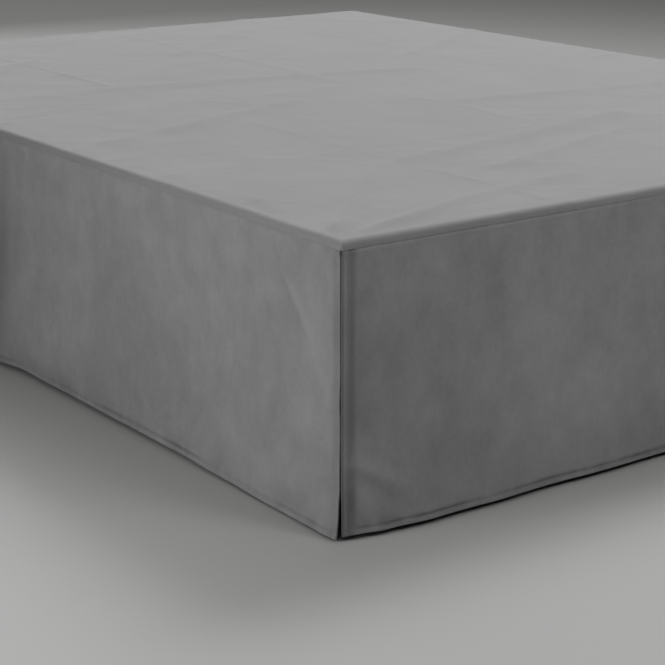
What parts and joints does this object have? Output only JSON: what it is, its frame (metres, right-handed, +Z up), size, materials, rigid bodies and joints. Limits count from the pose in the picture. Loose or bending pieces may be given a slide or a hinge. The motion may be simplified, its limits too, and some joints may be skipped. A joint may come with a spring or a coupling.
{
  "type": "bed skirt on a bed base",
  "caption": "Tailored cloth bed skirt with split foot corners and inverted side pleats, lying on a plain bed base and hanging from its edge to just above the floor.",
  "frame": {"origin": "middle of the whole object's footprint, on the floor", "axes": "+Z up, +Y along the bed towards the head end, +X across the bed"},
  "size_m": [1.5804, 2.0342, 0.4118],
  "materials": {
    "skirt_velvet": "matt short-pile velvet, mid grey",
    "deck_cotton": "matt plain-weave cotton, grey",
    "base_cover": "matt woven upholstery cover, charcoal",
    "glide_plastic": "black moulded plastic"
  },
  "bodies": {
    "root": {"deck": "deck_cotton", "panel_left": "skirt_velvet", "panel_right": "skirt_velvet", "panel_foot": "skirt_velvet", "bed_base": "base_cover", "glide_1": "glide_plastic", "glide_2": "glide_plastic", "glide_3": "glide_plastic", "glide_4": "glide_plastic", "glide_5": "glide_plastic", "glide_6": "glide_plastic"}
  },
  "joints": []
}
